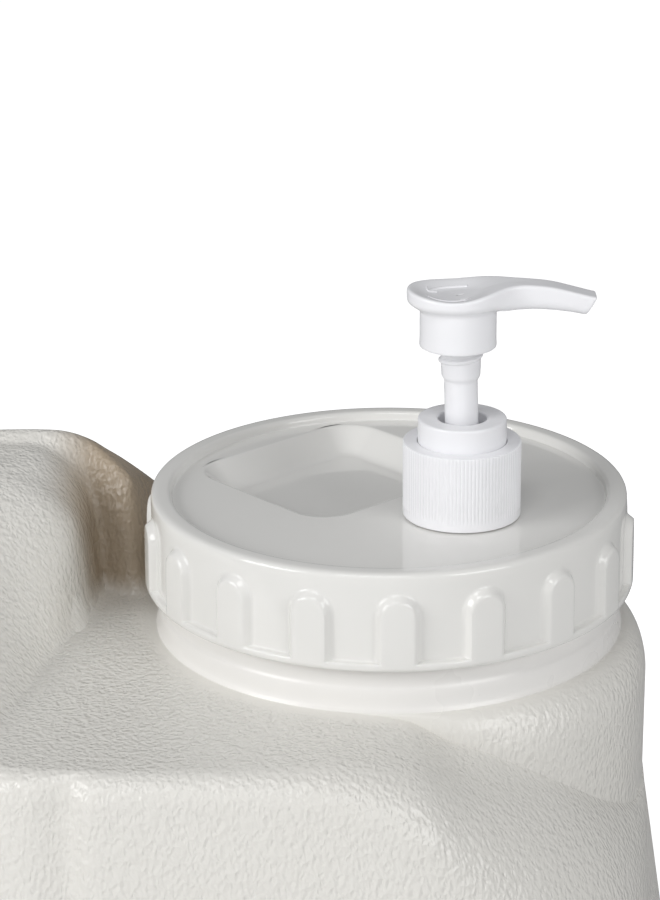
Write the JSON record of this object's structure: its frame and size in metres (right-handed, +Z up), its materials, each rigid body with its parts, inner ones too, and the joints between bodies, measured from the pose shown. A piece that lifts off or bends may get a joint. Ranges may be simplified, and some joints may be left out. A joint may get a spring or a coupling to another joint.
{
  "type": "pump oil bottle",
  "caption": "Wide-mouth moulded oil container with a ribbed screw lid that has a shallow tray and carries a hand pump with a curved spout.",
  "frame": {"origin": "centre of the container's footprint, on the surface that it stands on", "axes": "+Z up along the lid's axis, +X the way the spout points, -Y the front"},
  "size_m": [0.2778, 0.2381, 0.2553],
  "materials": {
    "container_plastic": "leather-grained off-white",
    "lid_plastic": "glossy off-white",
    "pump_plastic": "satin white",
    "natural_plastic": "milky natural",
    "gasket_foam": "closed-cell foam",
    "spring_steel": "drawn wire",
    "glass_ball": "polished"
  },
  "bodies": {
    "container": {"container": "container_plastic"},
    "lid_seal": {"lid_gasket": "gasket_foam"},
    "lid": {"lid": "lid_plastic"},
    "pump_body": {"pump_housing": "natural_plastic", "collar_gasket": "gasket_foam", "lock_ring": "pump_plastic", "ball_cage": "natural_plastic", "dip_tube": "natural_plastic", "return_spring": "spring_steel"},
    "collar": {"collar": "pump_plastic"},
    "plunger": {"piston": "natural_plastic", "piston_rod": "pump_plastic"},
    "head": {"stem": "pump_plastic", "actuator": "pump_plastic"},
    "inlet_ball": {"inlet_ball": "glass_ball"},
    "outlet_ball": {"outlet_ball": "glass_ball"}
  },
  "joints": [
    {"name": "lid_lift", "type": "slide", "parent": "container", "child": "lid_seal", "axis": [0, 0, 1], "range_m": [0, 0.00901]},
    {"name": "lid_turn", "type": "hinge", "parent": "lid_seal", "child": "lid", "pos_m": [0.05076, 0.00658, 0.175], "axis": [0, 0, 1], "range_deg": [0, 540]},
    {"name": "pump_lift", "type": "slide", "parent": "lid", "child": "pump_body", "axis": [0, 0, 1], "range_m": [0, 0.00636]},
    {"name": "collar_turn", "type": "hinge", "parent": "pump_body", "child": "collar", "pos_m": [0.07056, -0.01042, 0.198], "axis": [0, 0, 1], "range_deg": [0, 540]},
    {"name": "pump_stroke", "type": "slide", "parent": "pump_body", "child": "plunger", "axis": [0, 0, 1], "range_m": [-0.0185, 0], "stiffness_N_per_m": 500, "springref_m": 0.01, "deforming": ["return_spring"]},
    {"name": "head_swivel", "type": "hinge", "parent": "plunger", "child": "head", "pos_m": [0.07056, -0.01042, 0.24], "axis": [0, 0, 1], "continuous": true},
    {"name": "inlet_ball_lift", "type": "slide", "parent": "pump_body", "child": "inlet_ball", "axis": [0, 0, 1], "range_m": [0, 0.0012]},
    {"name": "outlet_ball_lift", "type": "slide", "parent": "head", "child": "outlet_ball", "axis": [0, 0, 1], "range_m": [0, 0.0012]}
  ],
  "couplings": [
    {"joint": "lid_lift", "follows": "lid_turn", "m_per_rad": 0.00095493},
    {"joint": "pump_lift", "follows": "collar_turn", "m_per_rad": 0.00067376}
  ]
}
